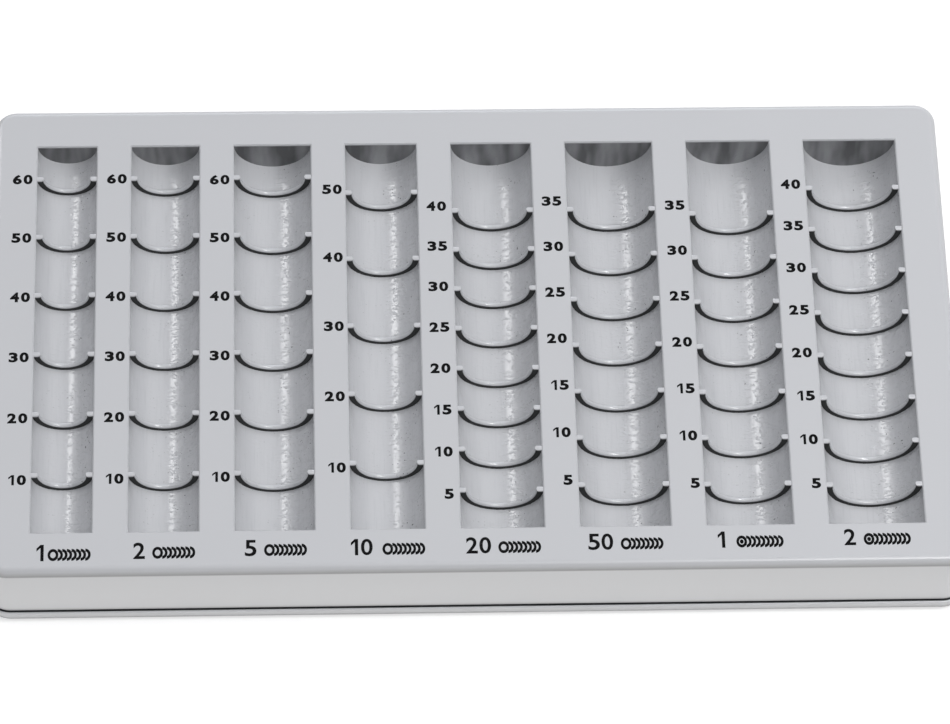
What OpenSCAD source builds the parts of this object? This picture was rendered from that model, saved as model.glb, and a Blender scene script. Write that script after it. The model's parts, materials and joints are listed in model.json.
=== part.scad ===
// Coin counting tray.
// One thin moulding holds eight half-round coin troughs in a flat plate with a drafted skirt.
// A base cover closes it from below: its rim stands a little proud of the skirt and leaves a
// narrow shadow gap. Self-tapping screws hold the cover, and four rubber feet carry the tray.
// Origin: middle of the footprint, on the surface that the feet stand on.
// +X runs across the troughs to the right, +Y along them to the far side, +Z up.

/* [Coins] */
// Coin diameters, one for each trough from left to right
coin_d = [16.25, 18.75, 21.25, 19.75, 22.25, 24.25, 23.25, 25.75]; // [15:0.05:27] for each
// Thicknesses of the same coins
coin_t = [1.67, 1.67, 1.67, 1.93, 2.14, 2.38, 2.33, 2.20]; // [1.5:0.01:2.6] for each
// Coins in one counted stack
stack_n = [10, 10, 10, 10, 5, 5, 5, 5]; // [4:1:12] for each
// Free length that a stack has in its cell
stack_play = [0.35, 0.35, 0.35, 0.45, 0.25, 0.95, 0.95, 0.8]; // [0.2:0.05:2] for each
// Dividers in each trough
divider_n = [6, 6, 6, 5, 8, 7, 7, 8]; // [2:1:9] for each
// Play of a coin across its trough
coin_play = 0.4; // [0.2:0.05:1]

/* [Troughs] */
// Plate between two troughs
bar_w = 9.7; // [8:0.1:16]
// Wall of a trough
trough_wall = 1.8; // [1.4:0.1:2.4]
// Free length behind the last divider of the longest row
end_room = 9.4; // [5:0.1:30]
// Lean of the end walls, in degrees
end_draft = 3.5; // [1:0.5:6]
// Chamfer along the rim of a trough
rim_chamfer = 0.3; // [0.1:0.05:0.6]
// Play of the first stack in front of the first divider
first_play = 0.2; // [0.1:0.05:1]

/* [Dividers] */
// Thickness of a divider along the trough
divider_t = 1.6; // [1.2:0.1:2.2]
// Height of a divider above the trough wall
divider_h = 1.8; // [1.2:0.1:2.4]
// Rounding of a divider's two upper ends, towards the middle of the trough
divider_end_r = 0.9; // [0.5:0.1:1.1]
// Rounding of the same ends, along the trough
divider_side_r = 0.6; // [0.3:0.1:0.7]

/* [Plate and skirt] */
// Plate beside the first and the last trough
side_margin = 12; // [11:0.5:25]
// Plate in front of and behind the troughs
end_margin = 12; // [11:0.5:25]
// Thickness of the plate
plate_t = 2.2; // [1.8:0.1:3]
// Height of the skirt, from its lower edge to the plate's top
skirt_h = 21.7; // [20:0.1:40]
// Thickness of the skirt
skirt_t = 2; // [1.8:0.1:2.6]
// Lean of the skirt, in degrees
skirt_draft = 2; // [0.5:0.5:4]
// Corner radius of the plate in plan
corner_r = 5.75; // [5:0.25:8]
// Radius between plate and skirt
edge_r = 2; // [1:0.1:2]
// Thickness of the cross ribs under the plate
rib_t = 1.4; // [1:0.1:2]
// Depth of the cross ribs below the plate
rib_h = 7; // [4:0.5:10]
// Distance of each cross rib from the middle
rib_y = 24; // [15:1:35]

/* [Base cover] */
// Height of the rim
rim_h = 3.4; // [3:0.1:6]
// How far the rim stands out past the skirt
rim_proud = 0.8; // [0.4:0.1:1.5]
// Rounding of the rim's lower edge
rim_low_r = 0.9; // [0.5:0.1:1.2]
// Rounding of the rim's upper edge
rim_top_r = 0.5; // [0.3:0.1:0.7]
// Height of the shadow gap between rim and skirt
gap_h = 0.9; // [0.5:0.1:1.5]
// Depth of the shadow gap under the skirt
gap_depth = 1; // [0.6:0.1:1.2]
// Thickness of the cover's floor
floor_t = 2; // [1.6:0.1:2.6]
// Height of the locating lip inside the skirt
lip_h = 4; // [2:0.5:5]
// Thickness of the locating lip
lip_t = 1.4; // [1.2:0.1:1.8]
// Clearance of the locating lip
lip_clear = 0.2; // [0.1:0.05:0.3]

/* [Screws] */
// Distance of the screws from the plate's edges
screw_inset = 6.8; // [6.8:0.1:8]
// Diameter of the bosses under the plate
boss_d = 7; // [6.6:0.1:7]
// Diameter of the posts on the cover
post_d = 8; // [7.6:0.1:8]
// Diameter of a screw
screw_d = 2.9; // [2.5:0.1:3]
// Length of a screw below its head
screw_l = 13; // [10:0.5:14]
// Diameter of a screw head
head_d = 5.4; // [4.8:0.1:5.6]
// Height of a screw head
head_h = 2; // [1.6:0.1:2.2]
// Radius of the dome of a screw head
dome_r = 4.9; // [4:0.1:8]
// Length of one slot of the cross recess
recess_l = 3; // [2.5:0.1:3.2]
// Width of one slot of the cross recess
recess_w = 0.8; // [0.6:0.05:1]
// Depth of the cross recess
recess_h = 1.2; // [0.8:0.1:1.4]
// Clearance round a screw head in the cover
head_clear = 0.5; // [0.3:0.05:0.6]
// Clearance of the screw in the cover
screw_clear = 0.25; // [0.15:0.05:0.4]
// Clearance of the screw's core in the boss
pilot_clear = 0.05; // [0.03:0.01:0.08]
// Free depth of the boss's hole past the screw's tip
pilot_spare = 1; // [0.5:0.1:2]
// Height of the screw's seat above the cover's underside
seat_h = 3.8; // [3:0.1:5]
// Height of the posts above the cover's floor
post_h = 5.2; // [4:0.1:6]

/* [Feet] */
// Diameter of a foot
foot_d = 12; // [8:0.5:14]
// Thickness of a foot
foot_t = 1.5; // [1.2:0.1:2.5]
// How far a foot stands out below the cover
foot_proud = 0.8; // [0.5:0.1:1]
// Clearance round a foot in its recess
foot_clear = 0.2; // [0.1:0.05:0.4]
// Distance of a foot's middle from the plate's edges
foot_inset = 20; // [17:0.5:30]

/* [Hidden] */
$fn = 96;
// Overlap of pieces that are joined or cut, and how far a rounding starts off its surface
eps = 0.01;
overcut = 0.1;
trough_count = len(coin_d);
last = trough_count - 1;

// Heights, from the surface up
z_base = foot_proud;
z_floor = z_base + floor_t;
z_rim = z_base + rim_h;
z_skirt = z_rim + gap_h;
z_plate = z_skirt + skirt_h;
z_under = z_plate - plate_t;
z_post = z_floor + post_h;
z_seat = z_base + seat_h;

// Troughs
function trough_r(i) = (coin_d[i] + coin_play) / 2;
function stack_l(i) = stack_n[i] * coin_t[i];
function pitch(i) = stack_l(i) + stack_play[i] + divider_t;
function divider_y(i, k) = stack_l(i) + first_play + k * pitch(i);
function row_end(i) = divider_y(i, divider_n[i] - 1) + divider_t;
function sum_d(i) = i < 0 ? 0 : 2 * trough_r(i) + bar_w + sum_d(i - 1);
trough_l = max([for (i = [0 : last]) row_end(i)]) + end_room;
tray_w = sum_d(last) - bar_w + 2 * side_margin;
tray_d = trough_l + 2 * end_margin;
function trough_x(i) = -tray_w / 2 + side_margin + sum_d(i - 1) + trough_r(i);

// Walls: x counts outwards from the centre of a corner
function skirt_x(z) = corner_r + (z_plate - z) * tan(skirt_draft);
rim_x = skirt_x(z_skirt) + rim_proud;
shoulder_x = skirt_x(z_skirt) - gap_depth;
lip_x = skirt_x(z_skirt + lip_h) - skirt_t - lip_clear;

// Middle of a boss and its screw, and of a foot
screw_x = tray_w / 2 - screw_inset;
screw_y = tray_d / 2 - screw_inset;
screw_spots = [for (x = [-screw_x, 0, screw_x], y = [-screw_y, screw_y]) [x, y]];
foot_x = tray_w / 2 - foot_inset;
foot_y = tray_d / 2 - foot_inset;
boss_hole_l = screw_l - (z_post - z_seat) + pilot_spare;

// Sweeps a section, drawn outwards from a corner's centre, round the tray's rounded rectangle
module around_tray() {
    for (k = [0 : 3]) {
        across = (k % 2 == 0 ? tray_w : tray_d) / 2 - corner_r;
        along = (k % 2 == 0 ? tray_d : tray_w) / 2 - corner_r;
        rotate([0, 0, 90 * k]) translate([across, along, 0]) {
            rotate_extrude(angle = 90) children();
            rotate([90, 0, 0]) linear_extrude(2 * along) children();
        }
    }
}

// A slab over the rectangle between the corner centres
module middle_slab(z, t) {
    w = tray_w - 2 * corner_r;
    d = tray_d - 2 * corner_r;
    translate([-w / 2, -d / 2, z]) cube([w, d, t]);
}

// What a convex corner at the origin loses when it is rounded; it points up and right
module corner_cut(r) {
    translate([-r, -r]) difference() {
        square(r + eps);
        circle(r);
    }
}

// Section of the skirt with the rounded edge into the plate
module skirt_section() {
    lean = skirt_draft;
    arc = [corner_r - edge_r * (1 - sin(lean)) / cos(lean), z_plate - edge_r];
    tangent = arc + edge_r * [cos(lean), sin(lean)];
    difference() {
        polygon([[0, z_under], [0, z_plate], [corner_r, z_plate],
            [skirt_x(z_skirt), z_skirt], [skirt_x(z_skirt) - skirt_t, z_skirt],
            [skirt_x(z_under) - skirt_t, z_under]]);
        difference() {
            polygon([arc, [arc[0], z_plate + eps], [corner_r + eps, z_plate + eps], tangent]);
            translate(arc) circle(edge_r);
        }
    }
}

// Section of one divider: a straight rib with a full round crown, pointing to -x from the wall
module divider_section() {
    crown_r = divider_t / 2;
    translate([crown_r - divider_h, 0]) square([divider_h - crown_r + eps, divider_t]);
    translate([crown_r - divider_h, crown_r]) circle(crown_r);
}

// Space of trough i, up from the wall and the dividers, with its leaning end walls
module trough_space(i) {
    r = trough_r(i);
    lean = (r + eps) * tan(end_draft);
    top = trough_l / 2 + eps * tan(end_draft);
    translate([trough_x(i), 0, z_plate]) intersection() {
        translate([0, -trough_l / 2 - eps, 0]) rotate([-90, 0, 0]) rotate_extrude() difference() {
            square([r, trough_l + 2 * eps]);
            for (k = [0 : divider_n[i] - 1])
                translate([r, divider_y(i, k) + eps]) divider_section();
        }
        rotate([90, 0, 90]) translate([0, 0, -r - 1]) linear_extrude(2 * r + 2)
            polygon([[-top, eps], [top, eps], [top - lean, -r - eps], [lean - top, -r - eps]]);
    }
}

// Chamfer round the rim of trough i, which also sets the dividers' ends just below the plate
module rim_cut(i) {
    c = rim_chamfer;
    r = trough_r(i);
    half = trough_l / 2;
    translate([trough_x(i), 0, z_plate]) intersection() {
        rotate([90, 0, 0]) translate([0, 0, -half - 1]) linear_extrude(2 * half + 2)
            polygon([[-r, -c], [r, -c], [r + c + eps, eps], [-r - c - eps, eps]]);
        rotate([90, 0, 90]) translate([0, 0, -r - 1]) linear_extrude(2 * r + 2)
            polygon([[-half, -c], [half, -c], [half + c + eps, eps], [-half - c - eps, eps]]);
    }
}

// Rounds the upper ends of all dividers of trough i, from just before the first to just past
// the last, clear of the leaning end walls
module divider_end_cut(i) {
    crown = trough_r(i) - divider_h;
    start = sqrt(pow(crown, 2) - pow(rim_chamfer + divider_end_r, 2)) - overcut;
    past_last = row_end(i) + first_play;
    for (s = [0, 1])
        translate([trough_x(i), past_last - trough_l / 2, z_plate - rim_chamfer])
            mirror([s, 0, 0]) rotate([90, 0, 0]) translate([-start, 0, 0])
                linear_extrude(past_last - stack_l(i)) mirror([1, 0, 0]) corner_cut(divider_end_r);
}

// Rounds the upper ends of the dividers of trough i on their near and far sides, within the
// trough's own round, so that each end is a small dome
module divider_side_cut(i) {
    r = trough_r(i);
    translate([trough_x(i), 0, z_plate]) intersection() {
        rotate([90, 0, 0]) translate([0, 0, -trough_l / 2]) cylinder(r = r, h = trough_l);
        for (k = [0 : divider_n[i] - 1], s = [0, 1])
            translate([-r, divider_y(i, k) + (divider_t - trough_l) / 2, -rim_chamfer])
                mirror([0, s, 0]) rotate([90, 0, 90])
                    translate([(divider_t + overcut) / 2, 0, 0])
                        linear_extrude(2 * r) corner_cut(divider_side_r);
    }
}

// Outside of trough i below the plate
module trough_shell(i) {
    r = trough_r(i) + trough_wall;
    l = trough_l + 2 * trough_wall;
    intersection() {
        translate([trough_x(i), l / 2, z_plate]) rotate([90, 0, 0]) cylinder(r = r, h = l);
        translate([trough_x(i) - r, -l / 2, 0]) cube([2 * r, l, z_under + eps]);
    }
}

// The tray moulding: plate, skirt, trough shells, cross ribs and screw bosses
module tray_top() {
    color("#c6c8cb") difference() {
        union() {
            around_tray() skirt_section();
            middle_slab(z_under, plate_t);
            for (i = [0 : last]) trough_shell(i);
            for (y = [-rib_y, rib_y])
                translate([-tray_w / 2 + corner_r, y - rib_t / 2, z_under - rib_h])
                    cube([tray_w - 2 * corner_r, rib_t, rib_h + eps]);
            for (p = screw_spots)
                translate([p[0], p[1], z_post]) cylinder(d = boss_d, h = z_under + eps - z_post);
        }
        for (i = [0 : last]) {
            trough_space(i);
            rim_cut(i);
            divider_end_cut(i);
            divider_side_cut(i);
        }
        for (p = screw_spots)
            translate([p[0], p[1], z_post - eps])
                cylinder(d = screw_d + 2 * pilot_clear, h = boss_hole_l);
    }
}

// Section of the cover's edge: rim, shoulder that carries the skirt, and locating lip
module cover_section() {
    lip_top = z_skirt + lip_h;
    difference() {
        polygon([[0, z_base], [rim_x, z_base], [rim_x, z_rim], [shoulder_x, z_rim],
            [shoulder_x, z_skirt], [lip_x, z_skirt], [lip_x, lip_top], [lip_x - lip_t, lip_top],
            [lip_x - lip_t, z_floor], [0, z_floor]]);
        translate([rim_x, z_rim]) corner_cut(rim_top_r);
        translate([rim_x, z_base]) mirror([0, 1]) corner_cut(rim_low_r);
    }
}

// The cover's edge all round, whose lip makes room for the bosses that reach down past it
module cover_edge() {
    difference() {
        around_tray() cover_section();
        for (p = screw_spots)
            translate([p[0], p[1], z_post - overcut])
                cylinder(d = boss_d + 2 * lip_clear, h = z_under - z_post);
    }
}

// The base cover, with posts for the screws and recesses for the feet
module base_cover() {
    color("#bfc1c4") difference() {
        union() {
            cover_edge();
            middle_slab(z_base, floor_t);
            for (p = screw_spots)
                translate([p[0], p[1], z_base]) cylinder(d = post_d, h = z_post - z_base);
        }
        for (p = screw_spots) translate([p[0], p[1], 0]) {
            cylinder(d = head_d + 2 * head_clear, h = z_seat);
            cylinder(d = screw_d + 2 * screw_clear, h = z_post + eps);
        }
        for (x = [-foot_x, foot_x], y = [-foot_y, foot_y])
            translate([x, y, 0]) cylinder(d = foot_d + 2 * foot_clear, h = foot_t);
    }
}

// One pan-head screw, head down, with a cross recess
module cover_screw() {
    z_head = z_seat - head_h;
    difference() {
        rotate_extrude() {
            translate([0, z_seat - eps]) square([screw_d / 2, screw_l + eps]);
            intersection() {
                translate([0, z_head]) square([head_d / 2, head_h]);
                translate([0, z_head + dome_r]) circle(dome_r);
            }
        }
        for (a = [0, 90]) rotate([0, 0, a])
            translate([-recess_l / 2, -recess_w / 2, z_head - eps])
                cube([recess_l, recess_w, recess_h + eps]);
    }
}

// The cover's screws
module cover_screws() {
    color("#9a9da1") for (p = screw_spots) translate([p[0], p[1], 0]) cover_screw();
}

// One rubber foot; side and row are -1 or 1
module foot(side, row) {
    color("#2b2c2e") translate([side * foot_x, row * foot_y, 0]) rotate_extrude()
        difference() {
            square([foot_d / 2, foot_t]);
            translate([foot_d / 2, 0]) mirror([0, 1]) corner_cut(foot_proud / 2);
        }
}

tray_top();
base_cover();
cover_screws();
foot(-1, -1);  // foot_front_left
foot(1, -1);  // foot_front_right
foot(-1, 1);  // foot_rear_left
foot(1, 1);  // foot_rear_right
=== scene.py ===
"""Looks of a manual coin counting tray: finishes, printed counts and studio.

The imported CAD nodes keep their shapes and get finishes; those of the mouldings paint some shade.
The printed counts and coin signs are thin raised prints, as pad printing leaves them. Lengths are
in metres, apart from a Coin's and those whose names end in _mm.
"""
import json
import logging
import math
from dataclasses import dataclass, field
from enum import Enum
from typing import Any

import bpy
from mathutils import Matrix, Vector


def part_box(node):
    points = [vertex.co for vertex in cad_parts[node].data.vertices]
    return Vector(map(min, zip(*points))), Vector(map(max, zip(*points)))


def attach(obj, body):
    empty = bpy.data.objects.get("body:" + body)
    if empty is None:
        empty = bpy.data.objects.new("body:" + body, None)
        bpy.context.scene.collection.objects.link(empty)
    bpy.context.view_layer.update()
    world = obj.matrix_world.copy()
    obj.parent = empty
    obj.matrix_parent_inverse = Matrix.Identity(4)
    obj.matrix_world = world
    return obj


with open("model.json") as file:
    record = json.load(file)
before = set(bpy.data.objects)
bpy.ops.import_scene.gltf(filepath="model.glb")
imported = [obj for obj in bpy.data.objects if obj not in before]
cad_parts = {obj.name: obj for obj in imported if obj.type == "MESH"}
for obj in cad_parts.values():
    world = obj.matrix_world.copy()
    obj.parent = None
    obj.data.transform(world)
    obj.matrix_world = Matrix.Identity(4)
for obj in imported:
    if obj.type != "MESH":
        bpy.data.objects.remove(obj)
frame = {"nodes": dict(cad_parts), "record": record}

log = logging.getLogger("coin_tray")
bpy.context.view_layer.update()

MM = 0.001
BODY = "root"
Inputs = dict[str | int, Any]


class Face(Enum):
    """How the coin on a sign looks: one metal, or a core in a ring of another metal."""

    PLAIN = "plain"
    CORED = "cored"


@dataclass(frozen=True)
class Coin:
    """One coin size, and where its counts and its sign are printed, in millimetres.

    The counts are printed at a pitch of their own, which drifts a little from the dividers'.
    Their gap is from the trough's left rim and their start from its near end. The sign is placed
    by the left edges of its number and of its row of coins, from the trough's middle, and by its
    baseline, from the trough's near end.
    """

    number: str
    face: Face
    opening: str
    diameter: float
    per_stack: int
    stacks: int
    count_gap: float
    count_start: float
    count_pitch: float
    number_left: float
    row_left: float
    baseline: float


COINS = (
    Coin("1", Face.PLAIN, "trough_1_cent", 16.25, 10, 6, 1.30, 16.0, 18.92, -6.4, -3.4, -8.5),
    Coin("2", Face.PLAIN, "trough_2_cent", 18.75, 10, 6, 1.25, 16.1, 18.89, -8.0, -2.9, -8.2),
    Coin("5", Face.PLAIN, "trough_5_cent", 21.25, 10, 6, 1.25, 16.3, 18.73, -8.1, -2.9, -7.8),
    Coin("10", Face.PLAIN, "trough_10_cent", 19.75, 10, 5, 1.05, 18.7, 21.94, -10.1, -1.6, -7.9),
    Coin("20", Face.PLAIN, "trough_20_cent", 22.25, 5, 8, 1.70, 10.3, 12.91, -10.1, -1.4, -7.8),
    Coin("50", Face.PLAIN, "trough_50_cent", 24.25, 5, 7, 1.60, 14.1, 14.64, -10.4, -1.6, -7.2),
    Coin("1", Face.CORED, "trough_1_euro", 23.25, 5, 7, 1.30, 12.7, 14.59, -9.1, -4.1, -7.0),
    Coin("2", Face.CORED, "trough_2_euro", 25.75, 5, 8, 1.60, 12.2, 13.50, -9.4, -4.1, -6.7),
)


def linear(colour: str) -> tuple[float, float, float, float]:
    """Turns an sRGB hex colour into the linear colour that the shaders take.

    Args:
        colour: six hex digits after a hash, such as "#c6c8cb".

    Returns:
        Linear red, green and blue, and an alpha of 1.
    """
    parts = [int(colour[i:i + 2], 16) / 255 for i in (1, 3, 5)]
    red, green, blue = (p / 12.92 if p <= 0.04045 else ((p + 0.055) / 1.055) ** 2.4 for p in parts)
    return red, green, blue, 1.0


def add_node(tree: bpy.types.NodeTree, kind: str, inputs: Inputs | None = None,
             **settings: Any) -> bpy.types.Node:
    """Adds one shader node with its settings and links.

    Args:
        tree: the node tree that gets the node.
        kind: the node's type, without its "ShaderNode".
        inputs: by an input's name or number, its value, or the node or output linked to it.
        settings: values of the node's own properties.

    Returns:
        The new node.
    """
    node = tree.nodes.new(f"ShaderNode{kind}")
    for name, value in settings.items():
        setattr(node, name, value)
    for key, value in (inputs or {}).items():
        if isinstance(value, bpy.types.Node):
            value = next(output for output in value.outputs if output.enabled)
        if isinstance(value, bpy.types.NodeSocket):
            tree.links.new(value, node.inputs[key])
        else:
            node.inputs[key].default_value = value
    return node


@dataclass
class TroughField:
    """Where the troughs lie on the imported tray."""

    end_margin: float = 12 * MM
    skirt_lean_deg: float = 2.0
    skirt_height: float = 21.7 * MM
    play_mm: float = 0.4
    top: float = field(init=False)
    half_length: float = field(init=False)
    half_width: float = field(init=False)
    centres: dict[str, float] = field(init=False)

    def __post_init__(self) -> None:
        """Reads the plate's height and the troughs' places from the frame."""
        low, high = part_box("tray_top")
        spread = self.skirt_height * math.tan(math.radians(self.skirt_lean_deg))
        self.top = high.z
        self.half_length = high.y - spread - self.end_margin
        self.half_width = high.x - spread - self.end_margin
        openings = frame["record"]["physics"]["openings"]
        self.centres = {o["name"]: (o["box_m"][0][0] + o["box_m"][1][0]) / 2 for o in openings}

    def left_edge(self, coin: Coin) -> float:
        """Returns the X of the left rim of a coin's trough."""
        return self.centres[coin.opening] - (coin.diameter + self.play_mm) / 2 * MM


class Finish:
    """A finish that is built as one node material."""

    name: str

    def wire(self, tree: bpy.types.NodeTree) -> bpy.types.Node:
        """Adds the finish's nodes to an empty tree and returns its shader."""
        raise NotImplementedError

    def build(self) -> bpy.types.Material:
        """Makes the material and fills it with the finish's nodes.

        Returns:
            The finished material.
        """
        material = bpy.data.materials.new(self.name)
        material.use_nodes = True
        material.node_tree.nodes.clear()
        shader = self.wire(material.node_tree)
        add_node(material.node_tree, "OutputMaterial", {"Surface": shader})
        log.info("finish: %s", self.name)
        return material


@dataclass(frozen=True, kw_only=True)
class MouldedAbs(Finish):
    """ABS, injection moulded in a polished tool: a cool light grey with a satin gloss."""

    colour: str = "#c5c6c9"
    roughness: float = 0.30
    ior: float = 1.53
    peel_mm: float = 1.1
    peel_depth_mm: float = 0.006

    def peel(self, tree: bpy.types.NodeTree, place: bpy.types.NodeSocket) -> bpy.types.Node:
        """Adds the slight orange peel of a moulding, which softens the edge of each highlight.

        Args:
            tree: the finish's node tree.
            place: the place on the piece.

        Returns:
            The bump that gives the rippled normal.
        """
        ripple = add_node(tree, "TexNoise", {"Vector": place, "Scale": 1000 / self.peel_mm,
                                             "Detail": 1.0})
        return add_node(tree, "Bump", {"Height": ripple, "Distance": self.peel_depth_mm * MM})


@dataclass(frozen=True, kw_only=True)
class CoverAbs(MouldedAbs):
    """The tray's ABS, with painted shade in the gap under the skirt and along the rim's lower edge.
    """

    skirt_foot: Vector
    name: str = "moulded_abs_cover"
    # Colour of the painted shade in the gap and along the rim's lower edge
    painted_shade: str = "#25282a"
    corner_mm: float = 6.5
    spill_mm: float = 0.2
    shade_above_mm: float = 4.1
    # Painted shade along the rim's lower edge: how dark, between which heights, how far in
    low_edge_shade: float = 0.50
    low_edge_shade_mm: tuple[float, float] = (1.4, 2.4)
    edge_mm: float = 1.5

    def wire(self, tree: bpy.types.NodeTree) -> bpy.types.Node:
        """Adds the nodes of the cover's plastic.

        Args:
            tree: the finish's empty node tree.

        Returns:
            The shader.
        """
        place = add_node(tree, "TexCoord").outputs["Object"]
        # Painted shade fills the gap: everything above the rim and inside the skirt's rounded
        # outline.
        # An inner corner a metre up keeps height out of the distance from it
        corner = self.corner_mm * MM
        inner = Vector((self.skirt_foot.x - corner, self.skirt_foot.y - corner, 1.0))
        beyond = add_node(tree, "VectorMath", {0: place}, operation="ABSOLUTE")
        beyond = add_node(tree, "VectorMath", {0: beyond, 1: inner}, operation="SUBTRACT")
        beyond = add_node(tree, "VectorMath", {0: beyond, 1: Vector()}, operation="MAXIMUM")
        out = add_node(tree, "VectorMath", {0: beyond}, operation="LENGTH")
        covered = add_node(tree, "Math", {0: out, 1: corner + self.spill_mm * MM},
                           operation="LESS_THAN")
        height = add_node(tree, "SeparateXYZ", {0: place}).outputs["Z"]
        above = add_node(tree, "Math", {0: height, 1: self.shade_above_mm * MM},
                         operation="GREATER_THAN")
        shaded = add_node(tree, "Math", {0: covered, 1: above}, operation="MULTIPLY")
        # Painted shade darkens the outside of the rim towards its lower edge
        full, start = (mm * MM for mm in self.low_edge_shade_mm)
        low_edge_shaded = add_node(tree, "MapRange", {"Value": height, "From Min": start,
                                              "From Max": full, "To Max": self.low_edge_shade})
        outer = add_node(tree, "MapRange", {"Value": out, "From Min": corner - self.edge_mm * MM,
                                            "From Max": corner})
        low_edge_shaded = add_node(tree, "Math", {0: low_edge_shaded, 1: outer}, operation="MULTIPLY")
        shaded = add_node(tree, "Math", {0: shaded, 1: low_edge_shaded}, operation="MAXIMUM")
        colour = add_node(tree, "Mix", {0: shaded, 6: linear(self.colour), 7: linear(self.painted_shade)},
                          data_type="RGBA")
        return add_node(tree, "BsdfPrincipled", {
            "Base Color": colour, "IOR": self.ior, "Roughness": self.roughness,
            "Normal": self.peel(tree, place)})


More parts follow.
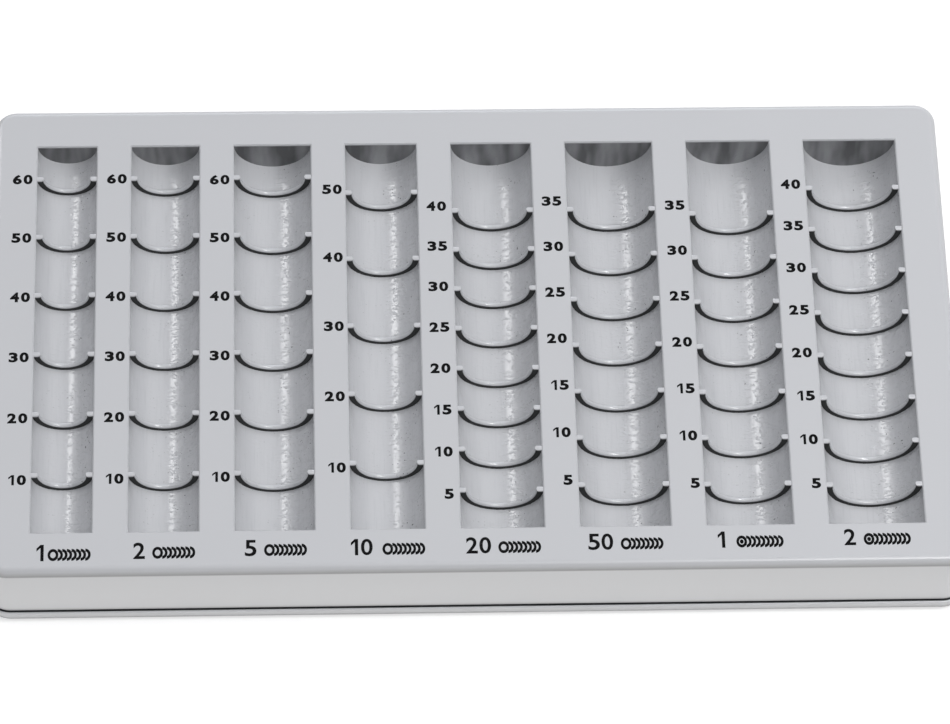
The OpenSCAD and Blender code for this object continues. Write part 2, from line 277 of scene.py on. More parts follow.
@dataclass(frozen=True, kw_only=True)
class TrayAbs(MouldedAbs):
    """The tray's ABS, polished where coins run, pitted, and with painted shade on the dividers.

    The troughs are worn most on the side that the coins lean to. The plate keeps the plain moulded
    surface, with painted shade at the foot of its rounded edge and at the foot of the skirt. Each
    range gives the values of a noise or a slope between which an effect sets in.
    """

    field_box: TroughField
    name: str = "moulded_abs_tray"
    mottle: str = "#c3c4c7"
    mottle_mm: float = 30.0
    mask_depth_mm: float = 0.4
    worn_roughness: float = 0.20
    left_wear: float = 0.25
    wear_range: tuple[float, float] = (0.0, -0.22)
    rubbed: str = "#b4b6b9"
    rub_cover: float = 0.35
    rub_range: tuple[float, float] = (0.52, 0.75)
    rub_across_mm: float = 0.5
    rub_along_mm: float = 10.0
    # Colour of the painted shade at the plate's edge, the skirt's foot, the dividers and the end
    # walls
    painted_shade: str = "#0a0e0e"
    painted_shade_roughness: float = 0.85
    # Painted shade in bands at the foot of the rounded edge and at the foot of the skirt
    fillet_shade: float = 0.55
    edge_mm: tuple[float, float, float, float] = (0.7, 2.2, 2.4, 3.0)
    foot_shade: float = 0.40
    foot_mm: float = 1.2
    # How dark the painted shade gets on the dividers' faces and, patchily, on the end walls
    divider_cover: float = 0.98
    upright_range: tuple[float, float] = (0.88, 0.98)
    climb: float = 0.25
    climb_mm: tuple[float, float] = (7.0, 1.5)
    end_wall_mm: float = 2.0
    wall_cover: tuple[float, float] = (0.42, 0.80)
    smear_range: tuple[float, float] = (0.35, 0.65)
    smear_across_mm: float = 5.0
    smear_up_mm: float = 25.0
    speck: str = "#2c2e2f"
    speck_cover: float = 0.8
    speck_range: tuple[float, float] = (0.77, 0.80)
    speck_mm: float = 0.55
    stray_specks: float = 0.1
    patch_range: tuple[float, float] = (0.5, 0.6)
    patch_mm: float = 7.0
    pit_range: tuple[float, float] = (0.52, 0.66)
    pit_across_mm: float = 1.5
    pit_along_mm: float = 0.7
    pit_depth_mm: float = 0.09

    def outer_shade(self, tree: bpy.types.NodeTree, height: bpy.types.NodeSocket,
                    within: bpy.types.Node) -> bpy.types.Node:
        """Adds the mask of painted shade outside the trough field, at the plate's edge and skirt
        foot.

        Args:
            tree: the finish's node tree.
            height: the height above the table.
            within: 1 within the outline of the trough field and 0 outside it.

        Returns:
            How dark the painted shade makes the surface.
        """
        top = self.field_box.top
        start, full, still, end = (top - mm * MM for mm in self.edge_mm)
        grows = add_node(tree, "MapRange", {"Value": height, "From Min": start, "From Max": full,
                                            "To Max": self.fillet_shade})
        fades_out = add_node(tree, "MapRange", {"Value": height, "From Min": end, "From Max": still})
        edge = add_node(tree, "Math", {0: grows, 1: fades_out}, operation="MULTIPLY")
        foot = top - self.field_box.skirt_height
        low = add_node(tree, "MapRange", {
            "Value": height, "From Min": foot + self.foot_mm * MM, "From Max": foot,
            "To Max": self.foot_shade})
        both = add_node(tree, "Math", {0: edge, 1: low}, operation="MAXIMUM")
        outside = add_node(tree, "Math", {0: 1.0, 1: within}, operation="SUBTRACT")
        return add_node(tree, "Math", {0: both, 1: outside}, operation="MULTIPLY")

    def rubbing(self, tree: bpy.types.NodeTree, place: bpy.types.NodeSocket,
                inside: bpy.types.Node) -> bpy.types.Node:
        """Adds the mask of long faint streaks, where rows of coins slide along the trough.

        Args:
            tree: the finish's node tree.
            place: the place on the tray.
            inside: 1 in the troughs and 0 elsewhere.

        Returns:
            How far the surface is rubbed.
        """
        across, along = 1000 / self.rub_across_mm, 1000 / self.rub_along_mm
        rows = add_node(tree, "Mapping", {"Vector": place, "Scale": (across, along, across)})
        streaks = add_node(tree, "TexNoise", {"Vector": rows, "Scale": 1.0, "Detail": 3.0})
        start, full = self.rub_range
        rub = add_node(tree, "MapRange", {"Value": streaks, "From Min": start, "From Max": full,
                                          "To Max": self.rub_cover})
        return add_node(tree, "Math", {0: rub, 1: inside}, operation="MULTIPLY")

    def film(self, tree: bpy.types.NodeTree, place: bpy.types.NodeSocket,
             facing: bpy.types.NodeSocket, inside: bpy.types.Node) -> bpy.types.Node:
        """Adds the black film of metal rubbed off the coins, on the faces that they lean on.

        It climbs further over the crown of a divider towards its ends, so that the black crescents
        of painted shade are thickest there. On the end walls it is streaked up and down, and
        thinner.

        Args:
            tree: the finish's node tree.
            place: the place on the tray.
            facing: how far the surface faces along the troughs.
            inside: 1 in the troughs and 0 elsewhere.

        Returns:
            How thickly the film covers the surface.
        """
        _, y, z = add_node(tree, "SeparateXYZ", {0: place}).outputs
        low, high = (self.field_box.top - mm * MM for mm in self.climb_mm)
        climb = add_node(tree, "MapRange", {"Value": z, "From Min": low, "From Max": high,
                                            "To Max": self.climb})
        toward = add_node(tree, "Math", {0: facing}, operation="ABSOLUTE")
        toward = add_node(tree, "Math", {0: toward, 1: climb})
        start, full = self.upright_range
        upright = add_node(tree, "MapRange", {"Value": toward, "From Min": start,
                                              "From Max": full})
        up_and_down = 1000 / self.smear_up_mm
        up_wall = add_node(tree, "Mapping", {"Vector": place, "Scale": (
            1000 / self.smear_across_mm, up_and_down, up_and_down)})
        smears = add_node(tree, "TexNoise", {"Vector": up_wall, "Scale": 1.0})
        start, full = self.smear_range
        thin, dense = self.wall_cover
        on_wall = add_node(tree, "MapRange", {"Value": smears, "From Min": start, "From Max": full,
                                              "To Min": thin, "To Max": dense})
        last_divider = self.field_box.half_length - self.end_wall_mm * MM
        on_divider = add_node(tree, "Math", {0: y, 1: 0.0, 2: last_divider}, operation="COMPARE")
        cover = add_node(tree, "Mix", {0: on_divider, 2: on_wall, 3: self.divider_cover})
        shaded = add_node(tree, "Math", {0: upright, 1: inside}, operation="MULTIPLY")
        return add_node(tree, "Math", {0: shaded, 1: cover}, operation="MULTIPLY")

    def specks(self, tree: bpy.types.NodeTree, place: bpy.types.NodeSocket,
               worn: bpy.types.Node) -> bpy.types.Node:
        """Adds the mask of sparse dark specks of dirt, in patches.

        Args:
            tree: the finish's node tree.
            place: the place on the tray.
            worn: how worn the surface is.

        Returns:
            How thickly specks cover the surface.
        """
        patches = add_node(tree, "TexNoise", {"Vector": place, "Scale": 1000 / self.patch_mm,
                                              "Detail": 0.0})
        start, full = self.patch_range
        patchy = add_node(tree, "MapRange", {"Value": patches, "From Min": start, "From Max": full,
                                             "To Min": self.stray_specks})
        dots = add_node(tree, "TexNoise", {"Vector": place, "Scale": 1000 / self.speck_mm,
                                           "Detail": 0.0})
        start, full = self.speck_range
        dark = add_node(tree, "MapRange", {"Value": dots, "From Min": start, "From Max": full,
                                           "To Max": self.speck_cover})
        dark = add_node(tree, "Math", {0: dark, 1: patchy}, operation="MULTIPLY")
        return add_node(tree, "Math", {0: dark, 1: worn}, operation="MULTIPLY")

    def pits(self, tree: bpy.types.NodeTree, place: bpy.types.NodeSocket,
             worn: bpy.types.Node) -> bpy.types.Node:
        """Adds short pits across the row, from the milled edges of coins.

        Args:
            tree: the finish's node tree.
            place: the place on the tray.
            worn: how worn the surface is.

        Returns:
            The height of the pitted surface.
        """
        across, along = 1000 / self.pit_across_mm, 1000 / self.pit_along_mm
        rows = add_node(tree, "Mapping", {"Vector": place, "Scale": (across, along, across)})
        dents = add_node(tree, "TexNoise", {"Vector": rows, "Scale": 1.0, "Detail": 2.0})
        start, full = self.pit_range
        dents = add_node(tree, "MapRange", {"Value": dents, "From Min": start, "From Max": full})
        return add_node(tree, "Math", {0: dents, 1: worn}, operation="MULTIPLY")

    def wire(self, tree: bpy.types.NodeTree) -> bpy.types.Node:
        """Adds the nodes of the tray's plastic.

        Args:
            tree: the finish's empty node tree.

        Returns:
            The shader.
        """
        source = add_node(tree, "TexCoord")
        place = source.outputs["Object"]
        x, y, z = add_node(tree, "SeparateXYZ", {0: place}).outputs
        # The worn area: below the plate, within the outline of the trough field
        box, depth = self.field_box, self.mask_depth_mm * MM
        deep = add_node(tree, "MapRange", {"Value": z, "From Min": box.top - depth,
                                           "From Max": box.top - 2 * depth})
        across = add_node(tree, "Math", {0: x, 1: 0.0, 2: box.half_width}, operation="COMPARE")
        along = add_node(tree, "Math", {0: y, 1: 0.0, 2: box.half_length}, operation="COMPARE")
        within = add_node(tree, "Math", {0: across, 1: along}, operation="MULTIPLY")
        inside = add_node(tree, "Math", {0: deep, 1: within}, operation="MULTIPLY")
        # The coins lean to the right, so that side is worn most
        lean, facing, _ = add_node(tree, "SeparateXYZ", {0: source.outputs["Normal"]}).outputs
        start, full = self.wear_range
        side = add_node(tree, "MapRange", {"Value": lean, "From Min": start, "From Max": full,
                                           "To Min": self.left_wear})
        worn = add_node(tree, "Math", {0: side, 1: inside}, operation="MULTIPLY")
        # Slow drift of the tone, as pigment flows unevenly through a large thin moulding
        drift = add_node(tree, "TexNoise", {"Vector": place, "Scale": 1000 / self.mottle_mm})
        colour = add_node(tree, "Mix", {0: drift, 6: linear(self.colour), 7: linear(self.mottle)},
                          data_type="RGBA")
        # Each mask lies on the one before: painted shade, rubbing, painted shade again, specks of
        # dirt
        film = self.film(tree, place, facing, inside)
        for mask, tone in ((self.outer_shade(tree, z, within), self.painted_shade),
                           (self.rubbing(tree, place, inside), self.rubbed),
                           (film, self.painted_shade),
                           (self.specks(tree, place, worn), self.speck)):
            colour = add_node(tree, "Mix", {0: mask, 6: colour, 7: linear(tone)},
                              data_type="RGBA")
        # Rubbing polishes the troughs, pits fray the highlights, and the film of painted shade is
        # matt
        gloss = add_node(tree, "Mix", {0: inside, 2: self.roughness, 3: self.worn_roughness})
        gloss = add_node(tree, "Mix", {0: film, 2: gloss, 3: self.painted_shade_roughness})
        bump = add_node(tree, "Bump", {"Height": self.pits(tree, place, worn),
                                       "Distance": self.pit_depth_mm * MM,
                                       "Normal": self.peel(tree, place)})
        return add_node(tree, "BsdfPrincipled", {"Base Color": colour, "Roughness": gloss,
                                                 "IOR": self.ior, "Normal": bump})


@dataclass(frozen=True)
class PlatedSteel(Finish):
    """Carbon steel, cold headed and zinc plated: a pale bluish metal with a fine grain."""

    name: str = "zinc_plated_steel"
    colour: str = "#b4b8bc"
    dull: str = "#9a9ea3"
    roughness: float = 0.34
    dull_roughness: float = 0.49
    grain_range: tuple[float, float] = (0.3, 0.7)
    grain_mm: float = 0.25

    def wire(self, tree: bpy.types.NodeTree) -> bpy.types.Node:
        """Adds the nodes of plated steel.

        Args:
            tree: the finish's empty node tree.

        Returns:
            The shader.
        """
        place = add_node(tree, "TexCoord").outputs["Object"]
        # Crystals of the plating, drawn coarser than they are so that they show
        grain = add_node(tree, "TexNoise", {"Vector": place, "Scale": 1000 / self.grain_mm,
                                            "Detail": 3.0})
        colour = add_node(tree, "Mix", {0: grain, 6: linear(self.colour), 7: linear(self.dull)},
                          data_type="RGBA")
        start, full = self.grain_range
        gloss = add_node(tree, "MapRange", {"Value": grain, "From Min": start, "From Max": full,
                                            "To Min": self.roughness,
                                            "To Max": self.dull_roughness})
        return add_node(tree, "BsdfPrincipled", {"Base Color": colour, "Roughness": gloss,
                                                 "Metallic": 1.0})


@dataclass(frozen=True)
class MouldedRubber(Finish):
    """Black nitrile rubber, die cut from moulded sheet: matt and slightly dusty."""

    name: str = "matt_black_rubber"
    colour: str = "#242527"
    dusty: str = "#3a3b3c"
    roughness: float = 0.78
    ior: float = 1.52
    grain_mm: float = 0.35
    grain_depth_mm: float = 0.02
    dust_mm: float = 3.0

    def wire(self, tree: bpy.types.NodeTree) -> bpy.types.Node:
        """Adds the nodes of matt rubber.

        Args:
            tree: the finish's empty node tree.

        Returns:
            The shader.
        """
        place = add_node(tree, "TexCoord").outputs["Object"]
        # Dust in patches lifts the black
        dust = add_node(tree, "TexNoise", {"Vector": place, "Scale": 1000 / self.dust_mm})
        colour = add_node(tree, "Mix", {0: dust, 6: linear(self.colour), 7: linear(self.dusty)},
                          data_type="RGBA")
        # The open grain of the sheet keeps it from shining
        grain = add_node(tree, "TexNoise", {"Vector": place, "Scale": 1000 / self.grain_mm})
        bump = add_node(tree, "Bump", {"Height": grain, "Distance": self.grain_depth_mm * MM})
        return add_node(tree, "BsdfPrincipled", {"Base Color": colour, "Normal": bump,
                                                 "Roughness": self.roughness, "IOR": self.ior})


@dataclass(frozen=True)
class PrintInk(Finish):
    """Solvent pad printing ink: a dense matt black film, a little thinner where it has worn."""

    name: str = "pad_printing_ink"
    colour: str = "#030304"
    worn: str = "#101112"
    roughness: float = 0.60
    worn_roughness: float = 0.80
    specular_level: float = 0.08
    wear_range: tuple[float, float] = (0.5, 0.8)
    wear_mm: float = 0.7

    def wire(self, tree: bpy.types.NodeTree) -> bpy.types.Node:
        """Adds the nodes of printed ink.

        Args:
            tree: the finish's empty node tree.

        Returns:
            The shader.
        """
        place = add_node(tree, "TexCoord").outputs["Object"]
        # Wear shows as a slightly greyer film in small patches
        wear = add_node(tree, "TexNoise", {"Vector": place, "Scale": 1000 / self.wear_mm})
        start, full = self.wear_range
        thin = add_node(tree, "MapRange", {"Value": wear, "From Min": start, "From Max": full})
        colour = add_node(tree, "Mix", {0: thin, 6: linear(self.colour), 7: linear(self.worn)},
                          data_type="RGBA")
        gloss = add_node(tree, "MapRange", {"Value": wear, "To Min": self.roughness,
                                            "To Max": self.worn_roughness})
        return add_node(tree, "BsdfPrincipled", {"Base Color": colour, "Roughness": gloss,
                                                 "Specular IOR Level": self.specular_level})


def join(objects: list[bpy.types.Object], name: str) -> bpy.types.Object:
    """Joins objects into one mesh object at the origin.

    Args:
        objects: the mesh objects; the first one takes in the rest.
        name: the name of the joined piece.

    Returns:
        The joined object.
    """
    bpy.ops.object.select_all(action="DESELECT")
    for each in objects:
        each.select_set(True)
    piece = objects[0]
    bpy.context.view_layer.objects.active = piece
    if len(objects) > 1:
        bpy.ops.object.join()
    piece.name = piece.data.name = name
    return piece


def place(piece: bpy.types.Object, x: float, y: float, z: float = 0.0) -> bpy.types.Object:
    """Moves a piece's mesh, so that its object stays at the origin, and returns the piece."""
    piece.data.transform(Matrix.Translation((x, y, z)))
    return piece


def copy_of(piece: bpy.types.Object) -> bpy.types.Object:
    """Copies a piece together with its mesh.

    Args:
        piece: the piece to copy.

    Returns:
        The copy, with a mesh of its own.
    """
    twin = piece.copy()
    twin.data = piece.data.copy()
    bpy.context.collection.objects.link(twin)
    return twin


@dataclass(frozen=True)
class Digits:
    """A size and weight of printed digits.

    The bold offset, the widening and the thickness are in the font's own units, before a digit is
    fitted to its size. The last five sizes are shares of the digit's width or height.
    """

    height: float
    width: float
    gap: float
    film: float
    bold: float
    widen: float = 0.012
    thickness: float = 0.5
    curve_steps: int = 6
    narrow: float = 0.62
    after_one: float = 0.10
    stem: float = 0.28
    flag_drop: float = 0.22
    flag_height: float = 0.19

    def one(self) -> bpy.types.Object:
        """Models a 1 as a stem with a slanting flag.

        Returns:
            The digit, its lower left corner at the origin.
        """
        wide = self.width * self.narrow
        stem = self.width * self.stem
        bpy.ops.object.select_all(action="DESELECT")
        bpy.ops.mesh.primitive_plane_add(size=1)
        digit = bpy.context.object
        digit.data.transform(Matrix.Translation((wide - stem / 2, self.height / 2, 0))
                             @ Matrix.Diagonal((stem, self.height, 1, 1)))
        # A cut across the stem leaves a short upper left edge, which is drawn out as the flag
        bpy.ops.object.mode_set(mode="EDIT")
        bpy.ops.mesh.select_all(action="SELECT")
        bpy.ops.mesh.bisect(plane_co=(0, self.height * (1 - self.flag_height), 0),
                            plane_no=(0, 1, 0))
        bpy.ops.mesh.select_mode(type="EDGE")
        bpy.ops.mesh.select_all(action="DESELECT")
        bpy.ops.object.mode_set(mode="OBJECT")
        left = wide - stem
        for edge in digit.data.edges:
            ends = [digit.data.vertices[v].co for v in edge.vertices]
            edge.select = all(abs(e.x - left) < stem / 10 and e.y > self.height / 2 for e in ends)
        bpy.ops.object.mode_set(mode="EDIT")
        bpy.ops.mesh.extrude_region_move(
            TRANSFORM_OT_translate={"value": (-left, -self.height * self.flag_drop, 0)})
        bpy.ops.mesh.select_mode(type="VERT")
        bpy.ops.mesh.select_all(action="SELECT")
        bpy.ops.mesh.extrude_region_move(TRANSFORM_OT_translate={"value": (0, 0, self.film)})
        bpy.ops.mesh.select_all(action="SELECT")
        bpy.ops.mesh.normals_make_consistent(inside=False)
        bpy.ops.object.mode_set(mode="OBJECT")
        return digit

    def other(self, text: str) -> bpy.types.Object:
        """Sets any other digit in the built-in font and makes it a mesh.

        Args:
            text: the digit.

        Returns:
            The digit, its lower left corner at the origin.
        """
        bpy.ops.object.select_all(action="DESELECT")
        bpy.ops.object.text_add()
        writing = bpy.context.object
        writing.data.body = text
        writing.data.offset = self.bold
        writing.data.bevel_depth = self.widen
        writing.data.bevel_resolution = 0
        writing.data.extrude = self.thickness
        writing.data.resolution_u = self.curve_steps
        bpy.ops.object.convert(target="MESH")
        digit = bpy.context.object
        points = [v.co.copy() for v in digit.data.vertices]
        low = Vector(min(p[i] for p in points) for i in range(3))
        high = Vector(max(p[i] for p in points) for i in range(3))
        size = high - low
        fit = Matrix.Diagonal((self.width / size.x, self.height / size.y, self.film / size.z, 1))
        digit.data.transform(fit @ Matrix.Translation(-low))
        return digit

    def number(self, text: str) -> tuple[list[bpy.types.Object], float]:
        """Sets the digits of a number side by side.

        Args:
            text: the number.

        Returns:
            The digits, from x = 0 on, and the number's whole width.
        """
        digits, x = [], 0.0
        for letter in text:
            digits.append(place(self.one() if letter == "1" else self.other(letter), x, 0))
            wide = self.narrow + self.after_one if letter == "1" else 1
            x += self.gap + self.width * wide
        return digits, x - self.gap


@dataclass
class Printer:
    """Prints digits and coin signs on the plate as thin films of ink."""

    field_box: TroughField
    ink: bpy.types.Material
    film: float = 0.02 * MM
    sunk: float = 0.005 * MM
    sign_height: float = 3.6 * MM
    face_width: float = 2.9 * MM
    edge_pitch: float = 1.24 * MM
    edges: tuple[int, int] = (7, 8)
    stroke: float = 0.88 * MM
    core_share: float = 0.18
    ring_corners: int = 40
    core_corners: int = 24

    def oval(self, radius: float, corners: int, stroke: float = 0.0) -> bpy.types.Object:
        """Models a flat oval of ink about the middle of the front coin.

        Args:
            radius: half its height.
            corners: how many corners its outline has.
            stroke: the width of its line, or 0 for a filled oval.

        Returns:
            The oval as a closed solid of the film's thickness.
        """
        bpy.ops.object.select_all(action="DESELECT")
        bpy.ops.mesh.primitive_circle_add(vertices=corners, radius=radius, fill_type="NGON")
        bpy.ops.object.mode_set(mode="EDIT")
        if stroke:
            # The inset leaves the middle selected, which is cut out
            bpy.ops.mesh.inset(thickness=stroke)
            bpy.ops.mesh.delete(type="FACE")
        bpy.ops.mesh.select_all(action="SELECT")
        bpy.ops.mesh.extrude_region_move(TRANSFORM_OT_translate={"value": (0, 0, self.film)})
        bpy.ops.mesh.select_all(action="SELECT")
        bpy.ops.mesh.normals_make_consistent(inside=False)
        bpy.ops.object.mode_set(mode="OBJECT")
        made = bpy.context.object
        made.data.transform(Matrix.Diagonal((self.face_width / self.sign_height, 1, 1, 1)))
        return place(made, self.face_width / 2, self.sign_height / 2)

    def ring(self) -> bpy.types.Object:
        """Models the front coin of a sign as a ring, its lower left corner at the origin."""
        return self.oval(self.sign_height / 2, self.ring_corners, self.stroke)

    def core(self) -> bpy.types.Object:
        """Models the filled core of a two-metal coin."""
        return self.oval(self.sign_height * self.core_share, self.core_corners)

    def edge(self) -> bpy.types.Object:
        """Models what shows of a coin behind the first one.

        Returns:
            The right half of the ring.
        """
        made = self.ring()
        bpy.ops.object.mode_set(mode="EDIT")
        bpy.ops.mesh.select_all(action="SELECT")
        bpy.ops.mesh.bisect(plane_co=(self.face_width / 2, 0, 0), plane_no=(1, 0, 0),
                            clear_inner=True, use_fill=True)
        bpy.ops.object.mode_set(mode="OBJECT")
        return made

    def coin_row(self, face: Face) -> list[bpy.types.Object]:
        """Models a row of coins seen from the side, from x = 0 on.

        Args:
            face: how the front coin looks.

        Returns:
            The shapes of the row.
        """
        cored = face is Face.CORED
        row = [self.ring()] + ([self.core()] if cored else [])
        first = self.edge()
        others = [copy_of(first) for _ in range(self.edges[cored] - 1)]
        return row + [place(e, self.edge_pitch * k, 0) for k, e in enumerate([first] + others, 1)]

    def counts(self, coin: Coin, number: int, digits: Digits) -> None:
        """Prints the counts of one trough as one piece, each count beside its divider.

        Args:
            coin: the trough's coin.
            number: the trough's number from the left, for the piece's name.
            digits: the size and weight of the digits.
        """
        right = self.field_box.left_edge(coin) - coin.count_gap * MM
        low = coin.count_start * MM - self.field_box.half_length - digits.height / 2
        shapes = []
        for k in range(coin.stacks):
            made, width = digits.number(str((k + 1) * coin.per_stack))
            shapes += [place(d, right - width, low + k * coin.count_pitch * MM) for d in made]
        self.finish(shapes, f"counts_trough_{number}")

    def sign(self, coin: Coin, number: int, digits: Digits) -> None:
        """Prints a trough's sign as one piece: the coin's number and a row of coins.

        Args:
            coin: the trough's coin.
            number: the trough's number from the left, for the piece's name.
            digits: the size and weight of the number.
        """
        middle = self.field_box.centres[coin.opening]
        y = coin.baseline * MM - self.field_box.half_length
        made, _ = digits.number(coin.number)
        shapes = [place(d, middle + coin.number_left * MM, y) for d in made]
        shapes += [place(s, middle + coin.row_left * MM, y) for s in self.coin_row(coin.face)]
        self.finish(shapes, f"sign_trough_{number}")

    def finish(self, shapes: list[bpy.types.Object], name: str) -> None:
        """Joins printed shapes, inks them and parents them to the root body's empty.

        Args:
            shapes: the shapes, lying at z = 0.
            name: the piece's name.
        """
        piece = place(join(shapes, name), 0, 0, self.field_box.top - self.sunk)
        piece.data.materials.clear()
        piece.data.materials.append(self.ink)
        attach(piece, BODY)
        log.info("%s: %d faces", name, len(piece.data.polygons))

    def build(self) -> None:
        """Prints the counts and the sign of every trough."""
        small = Digits(height=3.1 * MM, width=2.5 * MM, gap=0.5 * MM, film=self.film, bold=0.035)
        large = Digits(height=4.9 * MM, width=3.15 * MM, gap=0.45 * MM, film=self.film, bold=0.006)
        for number, coin in enumerate(COINS, start=1):
            self.counts(coin, number, small)
            self.sign(coin, number, large)


@dataclass
class TrayBody:
    """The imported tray: two mouldings, screws and feet, each with its finish."""

    field_box: TroughField

    def dress(self, node: str, material: bpy.types.Material) -> None:
        """Gives a CAD node its material.

        Args:
            node: the node's name.
            material: the finished material.
        """
        piece = frame["nodes"][node]
        piece.data.materials.clear()
        piece.data.materials.append(material)
        log.info("%s: %s", node, material.name)

    def build(self) -> None:
        """Dresses every node of the tray."""
        self.dress("tray_top", TrayAbs(field_box=self.field_box).build())
        self.dress("base_cover", CoverAbs(skirt_foot=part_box("tray_top")[1]).build())
        self.dress("cover_screws", PlatedSteel().build())
        rubber = MouldedRubber().build()
        for node in sorted(n for n in frame["nodes"] if n.startswith("foot_")):
            self.dress(node, rubber)


def area_lamp(name: str, size: tuple[float, float], radiance: float,
              colour: str) -> bpy.types.Object:
    """Adds a rectangular lamp that no camera sees, at the origin and facing down.

    Args:
        name: the lamp's name.
        size: its two sides.
        radiance: how bright its surface is.
        colour: its sRGB hex colour.

    Returns:
        The lamp.
    """
    bpy.ops.object.light_add(type="AREA")
    lamp = bpy.context.object
    lamp.name = name
    lamp.data.shape = "RECTANGLE"
    lamp.data.size, lamp.data.size_y = size
    lamp.data.color = linear(colour)[:3]
    lamp.data.energy = radiance * math.pi * size[0] * size[1]
    lamp.visible_camera = False
    return lamp


@dataclass(frozen=True)
class Softbox:
    """A soft lamp above the table, by its place as seen from the tray and its radiance."""

    name: str
    towards: tuple[float, float, float]
    distance: float
    size: tuple[float, float]
    radiance: float
    colour: str = "#ffffff"
    in_reflections: bool = True
    on_matt: bool = True

    def build(self, target: Vector) -> None:
        """Hangs the lamp in its direction and aims it.

        Args:
            target: the point that the lamp faces.
        """
        away = Vector(self.towards).normalized()
        lamp = area_lamp(self.name, self.size, self.radiance, self.colour)
        lamp.location = target + away * self.distance
        lamp.rotation_mode = "QUATERNION"
        lamp.rotation_quaternion = away.to_track_quat("Z", "Y")
        lamp.visible_glossy = self.in_reflections
        lamp.visible_diffuse = self.on_matt


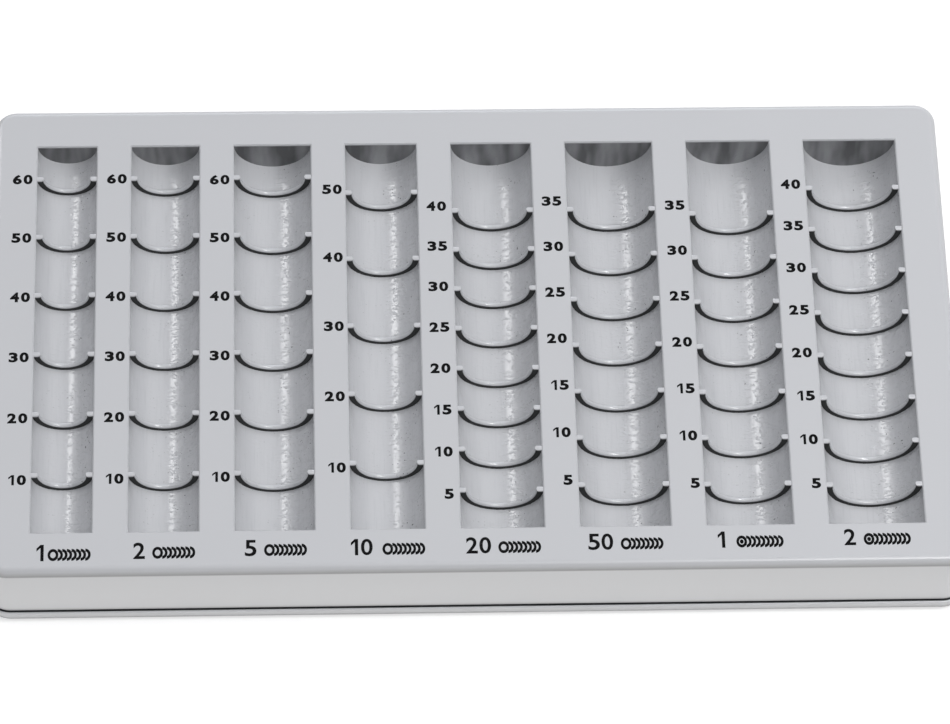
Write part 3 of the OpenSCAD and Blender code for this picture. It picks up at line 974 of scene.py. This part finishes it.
@dataclass
class Studio:
    """White table, soft lamps and the camera of the photograph."""

    target: Vector = field(default_factory=lambda: Vector((0.22, -9.73, 26.8)) * MM)
    distance: float = 1.27113
    elevation_deg: float = 61.692
    yaw_deg: float = 4.306
    roll_deg: float = 3.165
    focal_pixels: float = 4608.6
    image_width: int = 950
    sensor_mm: float = 36.0
    clip_near: float = 0.05
    white: str = "#ffffff"
    floor_size: float = 6.0
    floor_colour: str = "#bcbcbc"
    floor_glow: float = 0.62
    sky_colour: str = "#fbfcff"
    sky_high: float = 0.91
    sky_low: float = 0.03
    sky_full: float = 0.9
    sky_towards: tuple[float, float, float] = (-0.05, 0.30, 0.90)
    bounce: float = 1.38
    bounce_colour: str = "#fffdf8"
    bounce_size: tuple[float, float] = (0.7, 0.1)
    bounce_place: tuple[float, float, float] = (0.0, -0.127, 0.0005)
    lamps: tuple[Softbox, ...] = (
        Softbox("key_strip", (0.70, -0.06, 1.0), 1.3, (0.05, 0.5), 88.0, in_reflections=False),
        Softbox("ceiling_lamp", (0.36, -0.20, 0.91), 1.3, (0.7, 0.2), 26.0, on_matt=False),
        Softbox("window", (0.0, 0.89, 0.46), 1.6, (1.3, 0.5), 3.5, "#eef3ff", on_matt=False),
        Softbox("left_strip", (-0.51, 0.473, 0.72), 1.2, (0.2, 0.5), 8.0, on_matt=False),
    )

    def camera(self) -> None:
        """Sets the camera where the photograph was taken from."""
        elevation, yaw, roll = (math.radians(a) for a in
                                (self.elevation_deg, self.yaw_deg, self.roll_deg))
        forward = Vector((math.sin(yaw) * math.cos(elevation),
                          math.cos(yaw) * math.cos(elevation), -math.sin(elevation)))
        level = Vector((math.cos(yaw), -math.sin(yaw), 0))
        upward = level.cross(forward)
        right = math.cos(roll) * level + math.sin(roll) * upward
        up = math.cos(roll) * upward - math.sin(roll) * level
        bpy.ops.object.camera_add()
        camera = bpy.context.object
        camera.name = "photo_camera"
        camera.data.sensor_width = self.sensor_mm
        camera.data.lens = self.focal_pixels / self.image_width * self.sensor_mm
        camera.data.clip_start = self.clip_near
        turn = Matrix((right, up, -forward)).transposed().to_4x4()
        camera.matrix_world = Matrix.Translation(self.target - forward * self.distance) @ turn
        bpy.context.scene.camera = camera

    def seen(self, tree: bpy.types.NodeTree) -> bpy.types.Node:
        """Adds the mask of rays that show the background, directly, mirrored or through glass.

        Args:
            tree: the node tree of the table or of the world.

        Returns:
            1 for such a ray and 0 for any other.
        """
        rays = add_node(tree, "LightPath").outputs
        shown = add_node(tree, "Math", {0: rays["Is Camera Ray"], 1: rays["Is Glossy Ray"]},
                         operation="MAXIMUM")
        return add_node(tree, "Math", {0: shown, 1: rays["Is Transmission Ray"]},
                        operation="MAXIMUM")

    def floor(self) -> None:
        """Lays the pale table, which keeps the tray's shadow and shows white to the camera."""
        material = bpy.data.materials.new("white_table_laminate")
        material.use_nodes = True
        tree = material.node_tree
        tree.nodes.clear()
        strength = add_node(tree, "Math", {0: self.seen(tree), 1: self.floor_glow},
                            operation="MULTIPLY")
        glow = add_node(tree, "Emission", {"Color": linear(self.white), "Strength": strength})
        matt = add_node(tree, "BsdfDiffuse", {"Color": linear(self.floor_colour)})
        both = add_node(tree, "AddShader", {0: matt, 1: glow})
        add_node(tree, "OutputMaterial", {"Surface": both})
        bpy.ops.mesh.primitive_plane_add(size=self.floor_size)
        table = bpy.context.object
        table.name = "table"
        table.data.materials.append(material)

    def sky(self) -> None:
        """Builds the room's light: bright from above and behind, dim from low down."""
        world = bpy.data.worlds.new("studio")
        world.use_nodes = True
        bpy.context.scene.world = world
        tree = world.node_tree
        tree.nodes.clear()
        away = add_node(tree, "TexCoord").outputs["Generated"]
        along = add_node(tree, "VectorMath", {0: away, 1: Vector(self.sky_towards).normalized()},
                         operation="DOT_PRODUCT")
        strength = add_node(tree, "MapRange", {
            "Value": along, "From Min": 0.0, "From Max": self.sky_full,
            "To Min": self.sky_low, "To Max": self.sky_high}, interpolation_type="SMOOTHSTEP")
        room = add_node(tree, "Background", {"Color": linear(self.sky_colour),
                                             "Strength": strength})
        white = add_node(tree, "Background", {"Color": linear(self.white), "Strength": 1.0})
        both = add_node(tree, "MixShader", {0: self.seen(tree), 1: room, 2: white})
        add_node(tree, "OutputWorld", {"Surface": both})

    def table_bounce(self) -> None:
        """Lays a lamp on the table in front of the tray, which lights the skirt from below."""
        lamp = area_lamp("table_bounce", self.bounce_size, self.bounce, self.bounce_colour)
        lamp.location = self.bounce_place
        lamp.rotation_euler = (math.pi, 0, 0)
        lamp.visible_glossy = False

    def build(self) -> None:
        """Sets up the table, the light and the camera."""
        bpy.context.scene.view_settings.view_transform = "Standard"
        self.floor()
        self.sky()
        for lamp in self.lamps:
            lamp.build(Vector((0, 0, self.target.z)))
        self.table_bounce()
        self.camera()
        log.info("studio: %d lamps", len(self.lamps) + 1)


def main() -> None:
    """Builds the looks of the tray, piece by piece."""
    logging.basicConfig(level=logging.INFO, format="%(message)s")
    trough_field = TroughField()
    TrayBody(trough_field).build()
    Printer(trough_field, PrintInk().build()).build()
    Studio().build()


if __name__ == "__main__":
    main()
